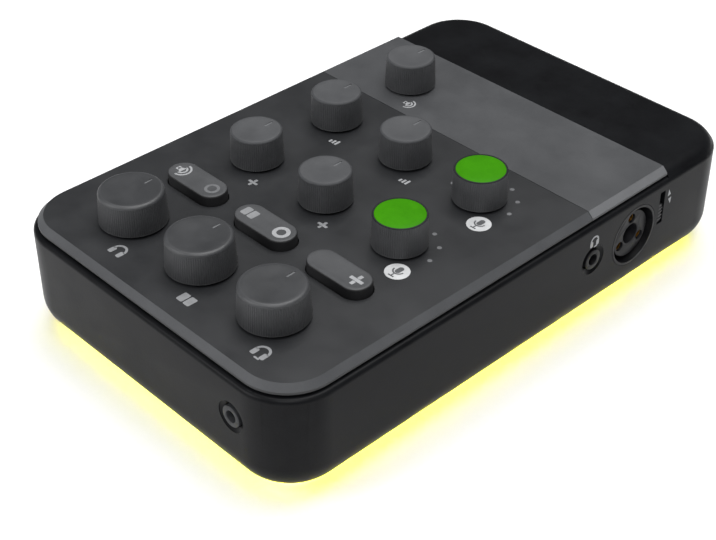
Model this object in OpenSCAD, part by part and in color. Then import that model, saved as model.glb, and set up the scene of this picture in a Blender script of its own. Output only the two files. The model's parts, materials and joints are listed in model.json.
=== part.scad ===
// Streaming audio mixer: desk case with ten knobs, three pill buttons and wall sockets.
// Millimetres. X runs to the right, Y to the rear, Z up. The feet stand on z = 0.

/* [Case] */
// Width across the side walls
case_width = 117.8; // [114:0.2:124]
// Length from front wall to rear wall
case_length = 186.4; // [180:0.2:196]
// Plan radius of the case corners
corner_radius = 16.5; // [15.5:0.5:18]
// Height of the shell from its underside to its rim
shell_height = 33.6; // [33:0.1:36]
// Radius of the rolled lower edge
belly_radius = 10; // [8.5:0.5:10.5]
// Radius of the rounded rim edge
rim_radius = 1.5; // [1:0.1:2]
// Thickness of the side walls
wall = 2.4; // [2:0.1:2.8]
// Thickness of the shell floor
floor_thickness = 4.6; // [4.4:0.1:5]
// Thickness of the shell roof
roof_thickness = 2.6; // [2.4:0.1:2.8]
// Height of the feet under the case
foot_height = 2.5; // [2:0.25:4]
// Radius of a foot
foot_radius = 6; // [5:0.5:8]
// Thickness of the bottom cover
base_thickness = 2.4; // [2.2:0.1:2.6]

/* [Deck] */
// Height of the deck top over the shell rim
deck_rise = 3.3; // [3.1:0.1:3.8]
// Deck edge inside the outer wall face
deck_inset = 1.5; // [1.2:0.1:1.8]
// Bevel on the front and side edges of the deck
deck_bevel = 1.75; // [1.2:0.05:2]
// Thickness of the deck plates
deck_plate = 2.5; // [2.4:0.1:2.9]
// Depth of the plain shoulder behind the deck
rear_shoulder = 33.1; // [32:0.1:36]
// Height of the shoulder top over the shell rim
shoulder_rise = 2.05; // [1.5:0.05:2.5]
// Radius of the shoulder's rounded top edge
shoulder_radius = 4.6; // [4:0.1:5.5]
// Front to rear depth of the lighter rear plate
badge_depth = 34.6; // [33:0.1:35.5]
// Seam between the two deck plates
deck_seam = 0.2; // [0.1:0.05:0.4]

/* [Controls] */
// Sideways pitch of the control columns
column_pitch = 30; // [28:0.5:31]
// First knob row behind the front wall
front_row = 22.7; // [22:0.1:24]
// Pill buttons behind the first knob row
pill_offset = 23.1; // [22:0.1:23.5]
// First small knob row behind the large knobs
small_offset = 45.8; // [45:0.1:47]
// Front to rear pitch of the small knob rows
small_pitch = 32.3; // [31:0.1:33]
// Rear knob ahead of the rear edge of the deck
rear_row = 20.2; // [18:0.1:22]
// Outer control columns in from the side walls
side_margin = 28.9; // [27:0.1:31]
// Top of the knobs over the deck
knob_height = 10.5; // [9.5:0.25:12]
// Foot radius of a large knob
big_radius = 10; // [9:0.25:10.5]
// Foot radius of a small knob
small_radius = 8.1; // [7.75:0.1:8.8]
// Gap between the deck and the underside of a knob
knob_gap = 0.8; // [0.6:0.1:1.2]
// Radius of the control shafts
shaft_radius = 3; // [2.75:0.05:3.1]
// Length of a pill button
pill_length = 22; // [20:0.5:24]
// Width of a pill button
pill_width = 9.25; // [7.5:0.25:9.75]
// Top of a pill button over the deck
pill_height = 3.3; // [2:0.1:3.6]
// Travel of a pill button
pill_travel = 1; // [0.6:0.1:1.1]

/* [Sockets] */
// Combo socket ahead of the rear wall
combo_from_rear = 48.6; // [48.2:0.1:49.2]
// Height of the combo socket axis over the case underside
combo_height = 20.9; // [20.8:0.1:21.2]
// Radius of the combo socket nose
combo_nose = 9.9; // [9.8:0.1:10.2]
// Small side socket ahead of the rear wall
side_jack_from_rear = 67.6; // [66.5:0.1:69]
// Front socket to the right of the middle
front_jack_x = 38.4; // [34:0.2:38.4]
// Slide switch ahead of the rear wall
switch_from_rear = 36; // [35.4:0.1:36.2]
// Height of the switch slot
switch_slot = 11.4; // [11:0.1:11.6]
// Travel of the slide switch
switch_travel = 4.4; // [3:0.1:4.6]
// Plug radius for the small sockets
mini_plug = 1.75; // [1.7:0.05:1.8]
// Plug radius for the large sockets
line_plug = 3.175; // [3.1:0.025:3.2]
// Rear USB socket left of the middle
usb_x = 34; // [30:0.5:36]
// Rear small socket left of the middle
rear_jack_x = 13; // [10:0.5:16]
// First rear line socket right of the middle
out_left_x = 11; // [9:0.5:12]
// Sideways pitch of the rear line sockets
out_pitch = 23; // [20:0.5:23]

/* [Inside] */
// Thickness of the circuit boards
board_thickness = 1.6; // [1.4:0.1:1.6]
// Height of a potentiometer body
pot_height = 6.6; // [6.4:0.1:6.8]
// Radius of the board posts
post_radius = 2.8; // [2.5:0.1:3]
// Shank radius of the screws
screw_radius = 1.2; // [1:0.05:1.25]
// Height of a screw head
head_height = 1.2; // [1:0.1:1.2]

/* [Hidden] */
$fn = 72;
seat = 0.02;
play = 0.3;
tiny = 0.01;
hw = case_width / 2;
hl = case_length / 2;
z_base = foot_height;
z_rim = z_base + shell_height;
z_deck = z_rim + deck_rise;
z_under = z_deck - deck_plate;
z_roof = z_rim - roof_thickness;
ledge_drop = 1;
z_ledge = z_rim - ledge_drop;
z_floor = z_base + floor_thickness;
lip_inset = 3.8;
lip_inner = 8.2;
open_inset = 8.5;
open_back = 6;
deck_back = hl - rear_shoulder;
badge_front = deck_back - badge_depth;
deck_length = case_length - rear_shoulder;
row_spread = deck_length / (front_row + small_offset + 2 * small_pitch + rear_row);
row_big = front_row * row_spread - hl;
row_pill = row_big + pill_offset * row_spread;
row_a = row_big + small_offset * row_spread;
row_b = row_a + small_pitch * row_spread;
row_c = row_b + small_pitch * row_spread;
col = column_pitch * hw / (column_pitch + side_margin);
bore_gap = 0.05;
hub_gap = 0.02;
hub_wall = 1.6;
flat_cut = 0.75;
skirt_wall = 1.5;
skirt_depth = 5.2;
crown = 2;
big_taper = 0.6;
small_taper = 0.35;
big_round = 1;
small_round = 0.6;
lit_round = 0.25;
dish_ring = 0.8;
dish_depth = 0.3;
fine = 720;
lens_rim = 0.55;
lens_depth = 1.6;
lens_dome = 0.4;
mark_width = 0.7;
mark_length = 3;
mark_depth = 0.3;
head_over = 1.1;
head_radius = screw_radius + head_over;
deck_screw_inset = (lip_inset + lip_inner) / 2;
deck_screw_grip = 3.2;
badge_screw_step = 5;
deck_screw_rows = [(row_big + row_pill) / 2, row_b, badge_front + badge_screw_step];
rear_screw_x = 2 * col / 3;
screw_slack = 0.2;
over = 1;
pot_width = 9.8;
pot_length = 11.4;
pot_drop = 1.7;
bush_wall = 0.9;
bush_rise = 1.2;
rotor_radius = 4;
rotor_height = 2.8;
rotor_gap = 0.4;
rotor_floor = 1.3;
encoder_width = 12.4;
encoder_length = 13.2;
z_main = z_under - pot_drop - pot_height;
z_main_low = z_main - board_thickness;
combo_z = z_base + combo_height;
combo_y = hl - combo_from_rear;
combo_half = 9.7;
combo_sit = 10.3;
combo_skin = 0.8;
combo_bore = combo_nose - combo_skin;
combo_ring = 1.5;
combo_core = combo_bore - combo_ring;
combo_depth = 23.5;
combo_recess = 1.3;
combo_back = 2;
combo_flange = 4;
combo_floor = 2;
combo_top_gap = 0.2;
combo_face = wall - combo_recess;
pin_circle = 5.3;
pin_radius = 1.5;
pin_depth = 9;
contact_bore = 1.2;
contact_floor = 1;
contact_set = 0.8;
nose_gap = 0.15;
z_io = combo_z - combo_sit;
z_io_low = z_io - board_thickness;
board_gap = 0.4;
main_half = hw - open_inset - board_gap;
main_front = open_inset + board_gap - hl;
main_back = deck_back - open_back - board_gap;
notch_front = 4;
notch_side = 5;
main_notch_y = combo_y - combo_half - notch_front;
main_notch_x = hw - wall - combo_depth - notch_side;
link_length = 24;
link_width = 3.6;
link_margin = 0.2;
io_front = main_back - link_width - 2 * link_margin;
post_gap = 0.6;
post_x = col / 2;
post_rows = [(row_big + row_pill) / 2, (row_a + row_b) / 2, io_front - post_radius - post_gap];
io_gap = 2.3;
io_back = hl - wall - io_gap;
io_inset = 10.9;
io_half = hw - io_inset;
tongue_lap = 6;
tongue_front = 3.5;
tongue_gap = 2.5;
io_tongue_x = main_notch_x - tongue_lap;
io_tongue_y = combo_y - combo_half - tongue_front;
line_depth = 22;
io_post_gap = 4.8;
io_post_y = hl - wall - line_depth - io_post_gap;
tongue_post_side = 4;
tongue_post_front = 7;
tongue_post_x = io_tongue_x + tongue_post_side;
tongue_post_y = io_tongue_y + tongue_post_front;
ring_outer = 10.5;
ring_inner = 13.9;
ring_depth = 3.6;
strip_height = 0.6;
strip_gap = 0.2;
base_inset = 16.4;
floor_inset = 21;
base_corner = 4;
case_screw_inset = (base_inset + floor_inset) / 2;
case_screw_end = 25.2;
case_screw_y = hl - case_screw_end;
foot_side = 28.9;
foot_end = 31.2;
foot_x = hw - foot_side;
foot_y = hl - foot_end;
foot_sink = 0.6;
foot_gap = 0.1;
base_gap = 0.2;
head_sink = 0.1;
post_foot = z_base + base_thickness / 2;
pilot_floor = 0.6;
z_pilot = z_base + base_thickness + pilot_floor;
board_screw_grip = 6;
flange_over = 1.5;
flange_height = 1.2;
pill_gap = 0.35;
pill_round = 0.7;
stem_radius = 1.6;
stem_drop = 0.7;
tact_width = 6.2;
tact_height = 3.6;
tact_well = stem_drop + pill_travel + play;
jack_half = 3;
jack_depth = 13;
jack_mouth = 3.5;
jack_nose = jack_mouth - play;
jack_flare = 4.8;
jack_flare_depth = 0.8;
jack_land = 0.2;
jack_back = 1;
mini_fit = 0.07;
line_fit = 0.075;
line_half = 6.2;
line_nose = 5.2;
usb_width = 8.94;
usb_height = 3.26;
usb_depth = 8;
usb_skin = 0.3;
usb_back = 1;
usb_block = 1.5;
usb_tongue_width = 6.7;
usb_tongue_height = 0.7;
usb_tongue_set = 0.8;
switch_y = hl - switch_from_rear;
switch_half = 2.5;
switch_depth = 5;
switch_back = 1;
switch_roof_gap = 0.5;
switch_lip_low = 0.4;
switch_lip_top = 0.3;
switch_top = z_roof - switch_roof_gap;
switch_low = switch_top - switch_slot;
slot_half = 1.2;
lever_half = 0.9;
lever_set = 0.4;
ridge_count = 4;
ridge_height = 0.25;
ridge_width = 0.5;
lever_height = switch_slot - switch_travel - 2 * play;
shoe_half = 1.6;
shoe_depth = 2.2;
lens_radius = small_radius - small_taper - lens_rim;
z_side_jack = z_main_low - jack_half;
z_rear_jack = z_io + jack_half;
z_line = z_io + line_half;
z_usb = z_io + usb_height / 2;

// Rounded rectangle in plan, drawn in from the case outline
module plan(inset, radius) {
    w = hw - inset;
    l = hl - inset;
    translate([-w, radius - l]) square([2 * w, 2 * (l - radius)]);
    translate([radius - w, -l]) square([2 * (w - radius), 2 * l]);
    for (sx = [-1, 1]) for (sy = [-1, 1]) translate([sx * (w - radius), sy * (l - radius)]) circle(radius);
}

// Plan with round front corners and a straight rear edge
module top_plan(inset, back) {
    w = hw - inset;
    r = corner_radius - inset;
    front = inset - hl;
    translate([-w, front + r]) square([2 * w, back - front - r]);
    translate([r - w, front]) square([2 * (w - r), r + over]);
    for (sx = [-1, 1]) translate([sx * (w - r), front + r]) circle(r);
}

// Upright section of the case with a rolled foot and a rounded rim
module section(half, height, roll, rim) {
    translate([-half, roll]) square([2 * half, height - roll - rim]);
    translate([roll - half, 0]) square([2 * (half - roll), height]);
    translate([rim - half, height / 2]) square([2 * (half - rim), height / 2]);
    for (s = [-1, 1]) {
        translate([s * (half - roll), roll]) circle(roll);
        if (rim > 0) translate([s * (half - rim), height - rim]) circle(rim);
    }
}

// Box with round plan corners, a rolled foot and a rounded rim
module rolled_box(inset, height, roll, rim) {
    r = corner_radius - inset;
    w = hw - inset;
    l = hl - inset;
    translate([0, l - r, 0]) rotate([90, 0, 0]) linear_extrude(2 * (l - r)) section(w, height, roll, rim);
    translate([r - w, 0, 0]) rotate([90, 0, 90]) linear_extrude(2 * (w - r)) section(l, height, roll, rim);
    for (sx = [-1, 1]) for (sy = [-1, 1]) translate([sx * (w - r), sy * (l - r), 0]) rotate_extrude() {
        intersection() {
            section(r, height, roll, rim);
            square([r, height]);
        }
    }
}

// Stadium in plan
module stadium(length, width) {
    square([length - width, width], center = true);
    for (s = [-1, 1]) translate([s * (length - width) / 2, 0]) circle(width / 2);
}

module at_deck_screws() {
    for (s = [-1, 1]) {
        for (y = deck_screw_rows) translate([s * (hw - deck_screw_inset), y, 0]) children();
        translate([s * rear_screw_x, deck_back - open_back / 2, 0]) children();
    }
}

module at_case_screws() {
    for (s = [-1, 1]) for (i = [-1, 0, 1])
        translate([s * (hw - case_screw_inset), i * case_screw_y, 0]) children();
}

module at_main_posts() {
    for (s = [-1, 1]) for (y = post_rows) translate([s * post_x, y, 0]) children();
}

module at_io_posts() {
    translate([-(usb_x + rear_jack_x) / 2, io_post_y, 0]) children();
    translate([out_left_x + out_pitch / 2, io_post_y, 0]) children();
    translate([tongue_post_x, tongue_post_y, 0]) children();
}

module at_feet() {
    for (sx = [-1, 1]) for (sy = [-1, 1]) translate([sx * foot_x, sy * foot_y, 0]) children();
}

// Places something drawn along X against the inner face of the right wall
module on_right(y, z) {
    translate([hw - wall, y, z]) children();
}

// Places something drawn along X against the inner face of the front wall
module on_front(x, z) {
    translate([x, wall - hl, z]) rotate([0, 0, -90]) children();
}

// Places something drawn along X against the inner face of the rear wall
module on_rear(x, z) {
    translate([x, hl - wall, z]) rotate([0, 0, 90]) children();
}

module rod(radius, length) {
    rotate([0, 90, 0]) cylinder(r = radius, h = length);
}

// Wall opening for a small socket: a flared mouth with a short straight land at the outer face
module mini_mouth() {
    translate([-over, 0, 0]) rod(jack_mouth, wall + 2 * over);
    translate([wall - jack_land - jack_flare_depth, 0, 0]) rotate([0, 90, 0])
        cylinder(r1 = jack_mouth, r2 = jack_flare, h = jack_flare_depth);
    translate([wall - jack_land, 0, 0]) rod(jack_flare, jack_land + over);
}

// Space behind a depth and above a height
module behind(y, z) {
    translate([-hw, y, z]) cube([case_width, case_length, shell_height]);
}

module shell() {
    color("#2a2b2d") difference() {
        union() {
            translate([0, 0, z_base]) rolled_box(0, shell_height, belly_radius, rim_radius);
            intersection() {
                translate([0, 0, z_base])
                    rolled_box(0, shell_height + shoulder_rise, belly_radius, shoulder_radius);
                behind(deck_back + play, z_roof);
            }
        }
        translate([0, 0, z_roof - over]) linear_extrude(shoulder_rise + over) intersection() {
            plan(shoulder_radius + wall, corner_radius - shoulder_radius - wall);
            translate([-hw, deck_back + play + wall]) square([case_width, rear_shoulder]);
        }
        translate([0, 0, z_floor]) rolled_box(wall, z_roof - z_floor, belly_radius - floor_thickness, 0);
        translate([0, 0, z_ledge]) linear_extrude(ledge_drop + over)
            top_plan(lip_inset - play, deck_back + play);
        translate([0, 0, z_roof - over]) linear_extrude(roof_thickness + 2 * over)
            top_plan(open_inset, deck_back - open_back);
        translate([0, 0, z_base - over]) linear_extrude(base_thickness + over) plan(base_inset, base_corner);
        translate([0, 0, z_base - over]) linear_extrude(floor_thickness + 2 * over)
            plan(floor_inset, base_corner);
        translate([0, 0, z_base - over]) linear_extrude(ring_depth + over) difference() {
            plan(ring_outer, corner_radius - ring_outer);
            plan(ring_inner, corner_radius - ring_inner);
        }
        at_deck_screws() translate([0, 0, z_roof - over])
            cylinder(r = screw_radius + screw_slack, h = roof_thickness + 2 * over);
        at_case_screws() translate([0, 0, z_base])
            cylinder(r = screw_radius + seat, h = floor_thickness + over);
        on_right(combo_y, combo_z) translate([-over, 0, 0]) rod(combo_nose + nose_gap, wall + 2 * over);
        on_right(hl - side_jack_from_rear, z_side_jack) mini_mouth();
        on_front(front_jack_x, z_side_jack) mini_mouth();
        on_rear(-rear_jack_x, z_rear_jack) mini_mouth();
        for (i = [0, 1]) on_rear(out_left_x + i * out_pitch, z_line)
            translate([-over, 0, 0]) rod(line_nose + nose_gap, wall + 2 * over);
        on_rear(-usb_x, z_usb) translate([-over, 0, 0]) rotate([90, 0, 90])
            linear_extrude(wall + 2 * over) stadium(usb_width + 2 * play, usb_height + 2 * play);
        translate([hw - wall - over, switch_y - slot_half, switch_low])
            cube([wall + 2 * over, 2 * slot_half, switch_slot]);
    }
}

module base_plate() {
    color("#1f2022") difference() {
        union() {
            translate([0, 0, z_base]) linear_extrude(base_thickness - seat)
                plan(base_inset + base_gap, base_corner - base_gap);
            at_main_posts() translate([0, 0, post_foot])
                cylinder(r = post_radius, h = z_main_low - seat - post_foot);
            at_io_posts() translate([0, 0, post_foot])
                cylinder(r = post_radius, h = z_io_low - seat - post_foot);
        }
        at_main_posts() translate([0, 0, z_pilot]) cylinder(r = screw_radius + seat, h = z_main_low);
        at_io_posts() translate([0, 0, z_pilot]) cylinder(r = screw_radius + seat, h = z_io_low);
        at_case_screws() translate([0, 0, z_base - over])
            cylinder(r = screw_radius + screw_slack, h = base_thickness + 2 * over);
        at_case_screws() translate([0, 0, z_base - over])
            cylinder(r = head_radius + screw_slack, h = head_height + head_sink + over);
        at_feet() translate([0, 0, z_base - over])
            cylinder(r = foot_radius + foot_gap, h = foot_sink + over);
    }
}

// Plate with its side edges bevelled, running front to rear
module bevel_run(y0, y1) {
    w = hw - deck_inset;
    top = deck_plate - deck_bevel;
    translate([0, y1, z_under]) rotate([90, 0, 0]) linear_extrude(y1 - y0)
        polygon([[-w, 0], [w, 0], [w, top], [w - deck_bevel, deck_plate],
            [deck_bevel - w, deck_plate], [-w, top]]);
}

// Bevelled front edge with its two round corners
module bevel_front() {
    r = corner_radius - deck_inset;
    w = hw - deck_inset - r;
    front = deck_inset - hl;
    top = deck_plate - deck_bevel;
    translate([-w, 0, z_under]) rotate([90, 0, 90]) linear_extrude(2 * w)
        polygon([[front, 0], [front + r + over, 0], [front + r + over, deck_plate],
            [front + deck_bevel, deck_plate], [front, top]]);
    for (s = [-1, 1]) translate([s * w, front + r, z_under]) {
        cylinder(r = r, h = top);
        translate([0, 0, top]) cylinder(r1 = r, r2 = r - deck_bevel, h = deck_bevel);
    }
}

// Locating lip under the deck plates, between two depths
module deck_lip(y0, y1) {
    translate([0, 0, z_ledge + seat]) linear_extrude(z_under - z_ledge) intersection() {
        difference() {
            top_plan(lip_inset, deck_back);
            top_plan(lip_inner, deck_back - open_back + play);
        }
        translate([-hw, y0]) square([case_width, y1 - y0]);
    }
}

module deck_screw_holes() {
    at_deck_screws() translate([0, 0, z_ledge - over])
        cylinder(r = screw_radius + seat, h = over + deck_screw_grip + play);
}

module shaft_hole(x, y) {
    translate([x, y, z_ledge]) cylinder(r = shaft_radius + bush_wall + play, h = z_deck);
}

module deck() {
    end = badge_front - deck_seam;
    color("#46474a") difference() {
        union() {
            bevel_front();
            bevel_run(deck_inset - hl + corner_radius - deck_inset, end);
            deck_lip(-hl, end);
        }
        deck_screw_holes();
        for (i = [-1, 0, 1]) {
            shaft_hole(i * col, row_big);
            shaft_hole(i * col, row_a);
            shaft_hole(i * col, row_b);
            translate([i * col, row_pill, z_ledge]) linear_extrude(z_deck)
                stadium(pill_length + 2 * pill_gap, pill_width + 2 * pill_gap);
        }
    }
}

module badge_plate() {
    color("#66686b") difference() {
        union() {
            bevel_run(badge_front, deck_back);
            deck_lip(badge_front, deck_back);
        }
        deck_screw_holes();
        shaft_hole(-col, row_c);
    }
}

module light_ring() {
    height = ring_depth - strip_height - strip_gap - 2 * seat;
    color("#f6efae") translate([0, 0, z_base + strip_gap]) linear_extrude(height)
        difference() {
            plan(ring_outer + seat, corner_radius - ring_outer - seat);
            plan(ring_inner - seat, corner_radius - ring_inner + seat);
        }
}

module led_strip() {
    low = z_base + ring_depth - strip_height - seat;
    color("#e8e8e2") translate([0, 0, low]) linear_extrude(strip_height)
        difference() {
            plan(ring_outer + strip_gap, corner_radius - ring_outer - strip_gap);
            plan(ring_inner - strip_gap, corner_radius - ring_inner + strip_gap);
        }
}

module feet() {
    color("#161617") at_feet() cylinder(r = foot_radius, h = z_base + foot_sink - seat);
}

module case_screws() {
    color("#8a8c90") at_case_screws() {
        translate([0, 0, z_base + head_sink - seat]) cylinder(r = head_radius, h = head_height);
        translate([0, 0, z_base + head_height / 2])
            cylinder(r = screw_radius, h = floor_thickness - head_height / 2 - screw_slack);
    }
}

module deck_screws() {
    color("#8a8c90") at_deck_screws() {
        translate([0, 0, z_roof - seat - head_height]) cylinder(r = head_radius, h = head_height);
        translate([0, 0, z_roof - head_height / 2])
            cylinder(r = screw_radius, h = z_ledge + deck_screw_grip - z_roof + head_height / 2);
    }
}

module main_board() {
    color("#1d4a34") difference() {
        translate([0, 0, z_main_low]) linear_extrude(board_thickness) {
            translate([-main_half, main_front]) square([2 * main_half, main_notch_y - main_front]);
            translate([-main_half, main_front]) square([main_half + main_notch_x, main_back - main_front]);
        }
        at_main_posts() translate([0, 0, z_main_low - over])
            cylinder(r = screw_radius + screw_slack, h = board_thickness + 2 * over);
    }
}

module io_board() {
    color("#1d4a34") difference() {
        translate([0, 0, z_io_low]) linear_extrude(board_thickness) {
            translate([-io_half, io_front]) square([2 * io_half, io_back - io_front]);
            translate([io_tongue_x, io_tongue_y])
                square([hw - wall - tongue_gap - io_tongue_x, deck_back - io_tongue_y]);
        }
        at_io_posts() translate([0, 0, z_io_low - over])
            cylinder(r = screw_radius + screw_slack, h = board_thickness + 2 * over);
    }
}

module board_link() {
    color("#232427") translate([-link_length / 2, main_back - link_margin - link_width, z_io + seat])
        cube([link_length, link_width, z_main_low - z_io - 2 * seat]);
}

module board_screw(z_top) {
    translate([0, 0, z_top + seat]) cylinder(r = head_radius, h = head_height);
    translate([0, 0, z_top - board_screw_grip])
        cylinder(r = screw_radius, h = board_screw_grip + head_height / 2);
}

module board_screws() {
    color("#8a8c90") {
        at_main_posts() board_screw(z_main);
        at_io_posts() board_screw(z_io);
    }
}

// Control body with a rotor chamber and a bushed bore for its shaft
module control(x, y, width, length) {
    bore = shaft_radius + bore_gap;
    translate([x, y, z_main + seat]) difference() {
        union() {
            translate([-width / 2, -length / 2, 0]) cube([width, length, pot_height - seat]);
            cylinder(r = bore + bush_wall - bore_gap, h = pot_height + bush_rise);
        }
        translate([0, 0, rotor_floor]) cylinder(r = rotor_radius + play, h = rotor_height + 2 * rotor_gap);
        translate([0, 0, rotor_floor]) cylinder(r = bore, h = pot_height + bush_rise);
    }
}

module pots() {
    color("#3c3d40") {
        for (i = [-1, 0, 1]) control(i * col, row_big, pot_width, pot_length);
        for (i = [-1, 0]) {
            control(i * col, row_a, pot_width, pot_length);
            control(i * col, row_b, pot_width, pot_length);
        }
        control(-col, row_c, pot_width, pot_length);
    }
}

module encoders() {
    color("#3c3d40") for (y = [row_a, row_b]) control(col, y, encoder_width, encoder_length);
}

// Shaft with its rotor below and a flat on the part that the knob grips
module shaft(x, y) {
    z_rotor = z_main + seat + rotor_floor + rotor_gap;
    tall = z_deck + knob_height - crown - play - z_rotor;
    color("#a6a8ab") translate([x, y, z_rotor]) {
        cylinder(r = rotor_radius, h = rotor_height);
        difference() {
            cylinder(r = shaft_radius, h = tall);
            translate([-shaft_radius, -shaft_radius - flat_cut, z_deck - z_rotor])
                cube([2 * shaft_radius, 2 * flat_cut, tall]);
        }
    }
}

module tact_switches() {
    color("#2c2d30") for (i = [-1, 0, 1]) translate([i * col, row_pill, z_main + seat]) difference() {
        translate([-tact_width / 2, -tact_width / 2, 0]) cube([tact_width, tact_width, tact_height]);
        translate([0, 0, tact_height - tact_well]) cylinder(r = stem_radius + play, h = tact_height);
    }
}

// Upright section of a pill cap, rounded along its top edges
module cap_section(height) {
    half = pill_width / 2;
    translate([-half, 0]) square([pill_width, height - pill_round]);
    translate([pill_round - half, 0]) square([pill_width - 2 * pill_round, height]);
    for (s = [-1, 1]) translate([s * (half - pill_round), height - pill_round]) circle(pill_round);
}

// Pill cap with a rounded crown, a hold-down flange and a stem into its switch
module pill(x) {
    flange = z_under - play - flange_height;
    foot = flange + tiny;
    rise = z_deck + pill_height - foot;
    end = (pill_length - pill_width) / 2;
    stem = z_main + tact_height - stem_drop;
    color("#75777a") translate([x, row_pill, 0]) {
        translate([-end, 0, foot]) rotate([90, 0, 90]) linear_extrude(2 * end) cap_section(rise);
        for (s = [-1, 1]) translate([s * end, 0, foot]) rotate_extrude() intersection() {
            cap_section(rise);
            square([pill_width, rise]);
        }
        translate([0, 0, flange]) linear_extrude(flange_height)
            stadium(pill_length + 2 * flange_over, pill_width + 2 * flange_over);
        translate([0, 0, stem]) cylinder(r = stem_radius, h = flange + flange_height / 2 - stem);
    }
}

// Radius of the circle through the rim and the lowest or highest point of a shallow bowl
function bowl_radius(reach, depth) = (reach * reach + depth * depth) / (2 * depth);

// Half section of a knob: tapered skirt, rounded crown edge and a hollow round the hub
module knob_section(foot, taper, round) {
    tall = knob_height - knob_gap;
    top = foot - taper;
    hub = shaft_radius + hub_wall;
    difference() {
        union() {
            polygon([[0, 0], [foot, 0], [top, tall - round], [0, tall - round]]);
            translate([0, tall - 2 * round]) square([top - round, 2 * round]);
            translate([top - round, tall - round]) circle(round);
        }
        translate([hub, -over]) square([top - skirt_wall - hub, skirt_depth + over]);
    }
}

// Turned knob with a blind hub bore, flat on one side to key it to its shaft
module knob_body(foot, taper, round) {
    tall = knob_height - knob_gap;
    bore = shaft_radius + hub_gap;
    difference() {
        rotate_extrude() knob_section(foot, taper, round);
        difference() {
            translate([0, 0, -over]) cylinder(r = bore, h = tall - crown + over);
            translate([-bore, -bore - flat_cut, -2 * over]) cube([2 * bore, 2 * flat_cut, tall + 2 * over]);
        }
    }
}

// Shallow bowl in a knob crown, inside a narrow flat ring
module dish(reach) {
    bowl = bowl_radius(reach, dish_depth);
    translate([0, 0, knob_height - knob_gap - dish_depth]) rotate_extrude() intersection() {
        translate([0, bowl]) circle(bowl, $fn = fine);
        square([reach, dish_depth + tiny]);
    }
}

// Pointer groove on the crown, towards the rear
module pointer(reach) {
    translate([-mark_width / 2, reach - mark_length, knob_height - knob_gap - mark_depth])
        cube([mark_width, mark_length, mark_depth + over]);
}

module knob_big(x) {
    color("#343538") translate([x, row_big, z_deck + knob_gap]) difference() {
        knob_body(big_radius, big_taper, big_round);
        dish(big_radius - big_taper - big_round - dish_ring);
        pointer(big_radius - big_taper - big_round - dish_ring);
    }
}

module knob_small(x, y) {
    color("#3a3b3e") translate([x, y, z_deck + knob_gap]) difference() {
        knob_body(small_radius, small_taper, small_round);
        dish(small_radius - small_taper - small_round - dish_ring);
        pointer(small_radius - small_taper - small_round - dish_ring);
    }
}

module knob_lit(y) {
    color("#3a3b3e") translate([col, y, z_deck + knob_gap]) difference() {
        knob_body(small_radius, small_taper, lit_round);
        translate([0, 0, knob_height - knob_gap - lens_depth])
            cylinder(r = lens_radius + seat, h = lens_depth + over);
    }
}

// Lens with a low domed top, seated in the collar of its knob
module lens(y) {
    tall = lens_depth + play - seat;
    dome = bowl_radius(lens_radius, lens_dome);
    color("#4aa81c") translate([col, y, z_deck + knob_height - lens_depth + seat]) rotate_extrude()
        intersection() {
            square([lens_radius, tall]);
            translate([0, tall - dome]) circle(dome, $fn = fine);
        }
}

module combo_housing() {
    low = z_io + seat;
    color("#232427") difference() {
        union() {
            translate([hw - wall - combo_depth, combo_y - combo_half, low])
                cube([combo_depth - seat, 2 * combo_half, z_roof - combo_top_gap - low]);
            on_right(combo_y, combo_z) translate([-over, 0, 0]) rod(combo_nose, wall + over);
        }
        on_right(combo_y, combo_z) translate([combo_back - combo_depth, 0, 0])
            rod(combo_bore, combo_depth + wall);
    }
}

// The three pin places round the combo socket axis
module at_pins() {
    for (a = [90, 210, 330]) translate([0, pin_circle * cos(a), pin_circle * sin(a)]) children();
}

module combo_insert() {
    back = combo_depth - combo_back - seat;
    color("#3a3b3e") on_right(combo_y, combo_z) difference() {
        union() {
            translate([-back, 0, 0]) rod(combo_core, back + combo_face);
            translate([-back, 0, 0]) rod(combo_bore - seat, combo_flange);
        }
        translate([combo_floor - back, 0, 0]) rod(line_plug + line_fit, back + wall);
        at_pins() translate([combo_face - pin_depth, 0, 0]) rod(pin_radius, pin_depth + over);
    }
}

// Contact sleeves seated in the pin holes of the insert
module combo_contacts() {
    tall = pin_depth - contact_set - seat;
    color("#c9a24a") on_right(combo_y, combo_z) at_pins() translate([combo_face - pin_depth + seat, 0, 0])
        difference() {
            rod(pin_radius - seat, tall);
            translate([contact_floor, 0, 0]) rod(contact_bore, tall);
        }
}

// Small socket: block behind the wall with a round nose in the opening
module mini_jack() {
    difference() {
        union() {
            translate([-jack_depth, -jack_half, seat - jack_half])
                cube([jack_depth - seat, 2 * jack_half, 2 * (jack_half - seat)]);
            translate([-over, 0, 0]) rod(jack_nose, wall + over);
        }
        translate([jack_back - jack_depth, 0, 0]) rod(mini_plug + mini_fit, jack_depth + wall);
    }
}

module side_jack() {
    color("#1b1c1e") on_right(hl - side_jack_from_rear, z_side_jack) mini_jack();
}

module front_jack() {
    color("#1b1c1e") on_front(front_jack_x, z_side_jack) mini_jack();
}

module rear_jack() {
    color("#1b1c1e") on_rear(-rear_jack_x, z_rear_jack) mini_jack();
}

module line_jack(x) {
    color("#1b1c1e") on_rear(x, z_line) difference() {
        union() {
            translate([-line_depth, -line_half, seat - line_half])
                cube([line_depth - seat, 2 * line_half, 2 * (line_half - seat)]);
            translate([-over, 0, 0]) rod(line_nose, wall + over);
        }
        translate([jack_back - line_depth, 0, 0]) rod(line_plug + line_fit, line_depth + wall);
    }
}

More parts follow.
